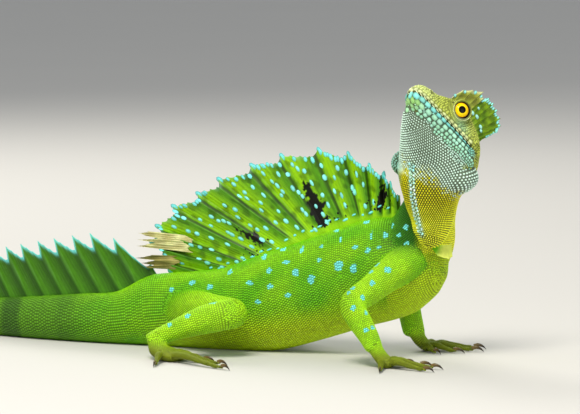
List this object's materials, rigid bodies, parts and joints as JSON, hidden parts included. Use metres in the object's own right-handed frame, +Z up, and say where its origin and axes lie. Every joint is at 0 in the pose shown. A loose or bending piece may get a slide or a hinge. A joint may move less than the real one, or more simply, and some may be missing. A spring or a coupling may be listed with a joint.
{
  "type": "green basilisk lizard figure",
  "caption": "Still, life-size green basilisk: adult male with fan-like crests, chest raised, head turned back, resting on belly, tail and feet.",
  "frame": {"origin": "middle of the flat on which the belly rests", "axes": "+X along the trunk towards the chest, +Y to the animal's left, +Z up"},
  "size_m": [0.6386, 0.1766, 0.1403],
  "materials": {
    "skin": "fine dry scales, leaf green with pale turquoise spots",
    "face": "fine dry scales, yellow green",
    "chin": "smooth turquoise plates with olive seams",
    "throat": "rows of bead-like scales, turquoise above, yellow olive below",
    "crest": "thin pleated membrane on bony rays, green with pale turquoise spots and black patches",
    "digits": "olive green ringed scales, dark horn claws",
    "eye": "glossy, golden iris with a round black pupil"
  },
  "bodies": {
    "root": {"head": "face", "lower_jaw": "chin", "eye_left": "eye", "eye_right": "eye", "brow_crest": "crest", "head_crest": "crest", "neck": "throat", "torso": "skin", "dorsal_crest": "crest", "tail_base": "skin", "tail_middle": "skin", "tail_rear": "skin", "tail_tip": "skin", "tail_crest_front": "crest", "tail_crest_rear": "crest", "upper_arm_left": "skin", "forearm_left": "skin", "hand_left": "digits", "upper_arm_right": "skin", "forearm_right": "skin", "hand_right": "digits", "thigh_left": "skin", "shank_left": "skin", "foot_left": "digits", "thigh_right": "skin", "shank_right": "skin", "foot_right": "digits"}
  },
  "joints": []
}
